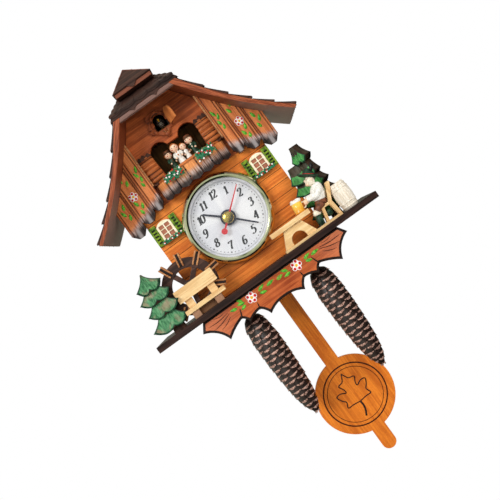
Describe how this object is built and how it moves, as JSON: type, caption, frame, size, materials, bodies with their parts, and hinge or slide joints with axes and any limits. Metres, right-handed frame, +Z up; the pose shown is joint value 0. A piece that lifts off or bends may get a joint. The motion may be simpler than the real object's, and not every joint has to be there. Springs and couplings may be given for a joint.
{
  "type": "cuckoo clock",
  "caption": "Wooden chalet cuckoo clock with a round dial, bird door, turning dancers, water wheel, carved pendulum and hanging cone weights.",
  "frame": {"origin": "centre of the hanger plate's keyhole on the flat back", "axes": "+Z up, +Y out of the back towards the wall, the dial faces -Y"},
  "size_m": [0.2228, 0.075, 0.4137],
  "materials": {
    "case_wood": "satin lacquer",
    "gable_wood": "satin lacquer",
    "dark_wood": "stained satin",
    "roof_wood": "stained satin",
    "shingle_wood": "stained, rough",
    "siding_wood": "stained, burnt ends",
    "balcony_wood": "stained, burnt ends",
    "apron_wood": "stained, dark edge",
    "carved_dark": "stained, carved",
    "pine": "plain lacquer",
    "plywood": "raw",
    "pendulum_wood": "satin lacquer",
    "wheel_wood": "stained",
    "painted_green": "painted",
    "painted_dark_green": "painted",
    "painted_cream": "painted",
    "painted_shutters": "painted",
    "painted_figures": "painted",
    "bird_paint": "painted",
    "cone_resin": "antiqued",
    "gold_rim": "polished",
    "dial_white": "printed",
    "lens_glass": "clear",
    "hand_black": "satin",
    "hand_red": "satin",
    "black_plastic": "moulded",
    "white_plastic": "moulded",
    "steel": "zinc plated",
    "wire_brass": "wire",
    "battery_jacket": "printed jacket",
    "copper_coil": "enamelled wire"
  },
  "bodies": {
    "house": {"apron_board": "apron_wood", "back_panel": "plywood", "balcony": "balcony_wood", "barrel": "painted_cream", "battery": "battery_jacket", "battery_contacts": "steel", "beer_drinker": "painted_figures", "bench": "pine", "bezel": "gold_rim", "bird_guide": "plywood", "chair": "pine", "cone_hooks": "wire_brass", "cuckoo_frame": "carved_dark", "dial": "dial_white", "drive_coil": "copper_coil", "flower_boxes": "painted_green", "front_wall": "case_wood", "gable_front": "gable_wood", "gable_shutters": "carved_dark", "gear_motors": "black_plastic", "hanger_plate": "steel", "hip_roof": "shingle_wood", "lens": "lens_glass", "movement_front_case": "black_plastic", "movement_rear_case": "black_plastic", "plate_screws": "steel", "ridge_cap": "shingle_wood", "roof_panel_left": "roof_wood", "roof_panel_right": "roof_wood", "roof_shingles": "shingle_wood", "shelf": "dark_wood", "side_walls": "case_wood", "siding_boards": "siding_wood", "sound_unit": "black_plastic", "table": "pine", "tree_left": "painted_green", "tree_right": "painted_dark_green", "wheel_axle": "dark_wood", "window_frames": "painted_cream", "window_shutters": "painted_shutters"},
    "hour": {"hour_hand": "hand_black", "hour_wheel": "white_plastic"},
    "minute": {"minute_hand": "hand_black", "minute_wheel": "white_plastic"},
    "second": {"second_hand": "hand_red", "second_wheel": "white_plastic"},
    "third": {"third_wheel": "white_plastic"},
    "motion": {"motion_wheel": "white_plastic"},
    "knob": {"setting_knob": "white_plastic"},
    "pendulum": {"pendulum": "pendulum_wood", "pendulum_hanger": "steel"},
    "bird": {"cuckoo_bird": "bird_paint"},
    "bird_door": {"cuckoo_door": "carved_dark"},
    "stage": {"turntable": "pine", "dancers": "painted_figures"},
    "wheel": {"water_wheel": "wheel_wood"},
    "cone_l": {"cone_left": "cone_resin"},
    "cone_r": {"cone_right": "cone_resin"},
    "service_door": {"rear_door": "plywood"},
    "switch": {"volume_switch": "white_plastic"}
  },
  "joints": [
    {"name": "second_hand_turn", "type": "hinge", "parent": "house", "child": "second", "pos_m": [0, -0.05, -0.078], "axis": [0, 1, 0], "continuous": true},
    {"name": "third_wheel_turn", "type": "hinge", "parent": "house", "child": "third", "pos_m": [0.00797, -0.03, -0.07132], "axis": [0, 1, 0], "continuous": true},
    {"name": "minute_hand_turn", "type": "hinge", "parent": "house", "child": "minute", "pos_m": [0, -0.0483, -0.078], "axis": [0, 1, 0], "continuous": true},
    {"name": "motion_wheel_turn", "type": "hinge", "parent": "house", "child": "motion", "pos_m": [-0.0066, -0.034, -0.078], "axis": [0, 1, 0], "continuous": true},
    {"name": "hour_hand_turn", "type": "hinge", "parent": "house", "child": "hour", "pos_m": [0, -0.047, -0.078], "axis": [0, 1, 0], "continuous": true},
    {"name": "setting_knob_turn", "type": "hinge", "parent": "house", "child": "knob", "pos_m": [-0.0132, -0.02, -0.078], "axis": [0, 1, 0], "continuous": true},
    {"name": "pendulum_swing", "type": "hinge", "parent": "house", "child": "pendulum", "pos_m": [0, -0.0185, -0.06], "axis": [0, 1, 0], "range_deg": [-13, 13]},
    {"name": "bird_slide", "type": "slide", "parent": "house", "child": "bird", "axis": [0, 1, 0], "range_m": [0, 0.014]},
    {"name": "bird_door_turn", "type": "hinge", "parent": "house", "child": "bird_door", "pos_m": [0.0076, -0.0482, 0.02], "axis": [0, 0, 1], "range_deg": [-119, 0]},
    {"name": "stage_turn", "type": "hinge", "parent": "house", "child": "stage", "pos_m": [0, -0.035, -0.019], "axis": [0, 0, 1], "continuous": true},
    {"name": "water_wheel_turn", "type": "hinge", "parent": "house", "child": "wheel", "pos_m": [-0.0595, -0.059, -0.1074], "axis": [0, 1, 0], "continuous": true},
    {"name": "cone_left_swing", "type": "hinge", "parent": "house", "child": "cone_l", "pos_m": [-0.0353, -0.04, -0.1425], "axis": [0, 1, 0], "range_deg": [-10, 10]},
    {"name": "cone_right_swing", "type": "hinge", "parent": "house", "child": "cone_r", "pos_m": [0.0353, -0.04, -0.1425], "axis": [0, 1, 0], "range_deg": [-10, 10]},
    {"name": "service_door_turn", "type": "hinge", "parent": "house", "child": "service_door", "pos_m": [-0.039, -0.0012, -0.075], "axis": [0, 0, 1], "range_deg": [0, 95]},
    {"name": "volume_switch_slide", "type": "slide", "parent": "house", "child": "switch", "axis": [0, 1, 0], "range_m": [-0.003, 0.003]}
  ],
  "couplings": [
    {"joint": "third_wheel_turn", "follows": "second_hand_turn", "ratio": -0.13333},
    {"joint": "minute_hand_turn", "follows": "second_hand_turn", "ratio": 0.016667},
    {"joint": "motion_wheel_turn", "follows": "second_hand_turn", "ratio": -0.0055556},
    {"joint": "hour_hand_turn", "follows": "second_hand_turn", "ratio": 0.0013889},
    {"joint": "setting_knob_turn", "follows": "second_hand_turn", "ratio": 0.016667},
    {"joint": "bird_door_turn", "follows": "bird_slide", "rad_per_m": -147.11}
  ]
}
